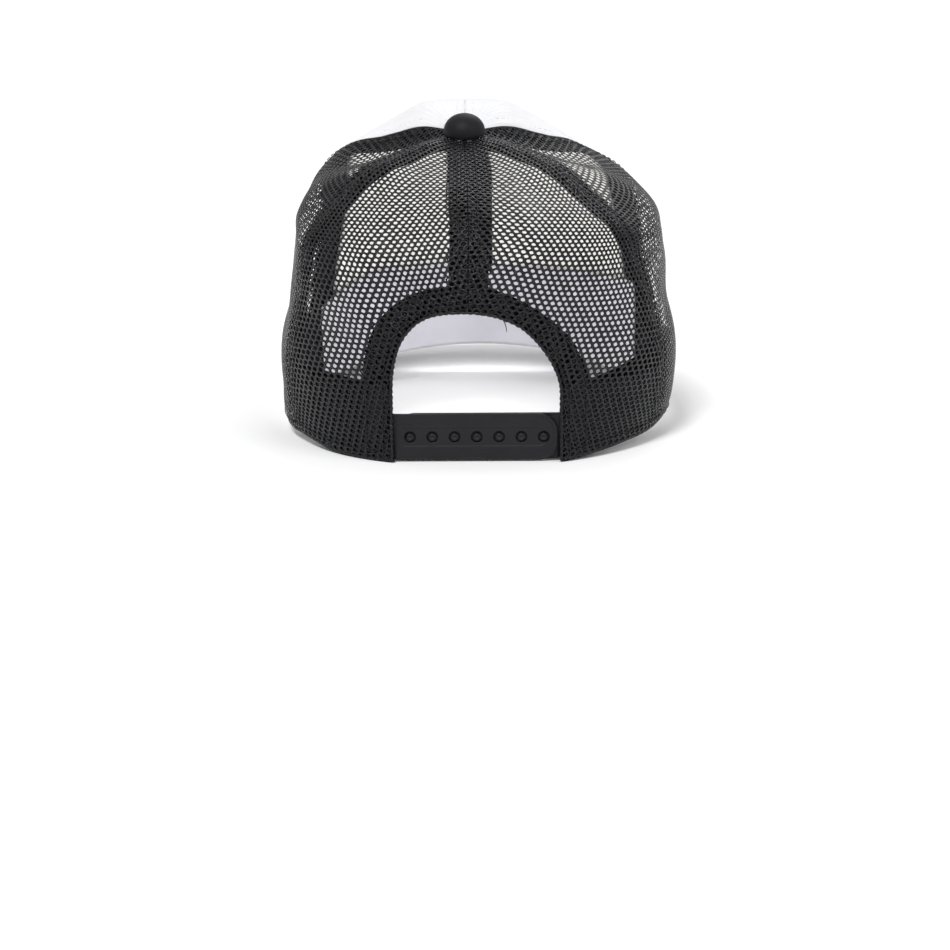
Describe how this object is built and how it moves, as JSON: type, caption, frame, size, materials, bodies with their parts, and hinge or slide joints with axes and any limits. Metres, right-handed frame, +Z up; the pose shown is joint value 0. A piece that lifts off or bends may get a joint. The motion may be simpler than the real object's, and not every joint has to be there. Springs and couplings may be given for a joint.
{
  "type": "trucker cap",
  "caption": "Cap with a white foam-backed front, black net sides and back, a curved visor and a snap strap across an arched rear opening.",
  "frame": {"origin": "centre of the head opening, on the flat surface that the cap stands on", "axes": "+Z up through the button, -Y forward over the visor, +X towards the wearer's left"},
  "size_m": [0.18, 0.2649, 0.1415],
  "materials": {
    "white_cloth": "woven polyester, matt white",
    "foam": "open-cell foam, cream",
    "net": "knitted polyester net with hexagonal holes, charcoal black",
    "tape": "woven binding, black",
    "sweatband_black": "brushed twill, black",
    "sweatband_white": "brushed twill, white",
    "strap_plastic": "moulded polyethylene, satin black",
    "board": "polyethylene sheet, plain",
    "button_cloth": "fine woven cloth, black",
    "bright_metal": "stamped, bright"
  },
  "bodies": {
    "crown": {"front_left_panel": "white_cloth", "front_left_foam": "foam", "side_left_mesh": "net", "back_left_mesh": "net", "seam_tape_front_left": "tape", "seam_tape_back_left": "tape", "sweatband_left": "sweatband_black", "front_right_panel": "white_cloth", "front_right_foam": "foam", "side_right_mesh": "net", "back_right_mesh": "net", "seam_tape_front_right": "tape", "seam_tape_back_right": "tape", "sweatband_right": "sweatband_black", "seam_tape_front_centre": "tape", "seam_tape_back_centre": "tape", "arch_tape": "tape", "sweatband_front": "sweatband_white", "hole_strap_anchor": "strap_plastic", "peg_strap_anchor": "strap_plastic", "visor_board": "board", "visor_top_cover": "white_cloth", "visor_under_cover": "white_cloth", "button_cover": "button_cloth", "button_shell": "bright_metal", "button_back": "bright_metal"},
    "hole_strap": {"hole_strap": "strap_plastic"},
    "peg_strap": {"peg_strap": "strap_plastic"}
  },
  "joints": [
    {"name": "hole_strap_bend", "type": "hinge", "parent": "crown", "child": "hole_strap", "pos_m": [0.0346, 0.08658, 0.0107], "axis": [0, 0, -1], "range_deg": [0, 75]},
    {"name": "peg_strap_bend", "type": "hinge", "parent": "crown", "child": "peg_strap", "pos_m": [-0.0346, 0.08488, 0.0107], "axis": [0, 0, -1], "range_deg": [0, 35]}
  ]
}
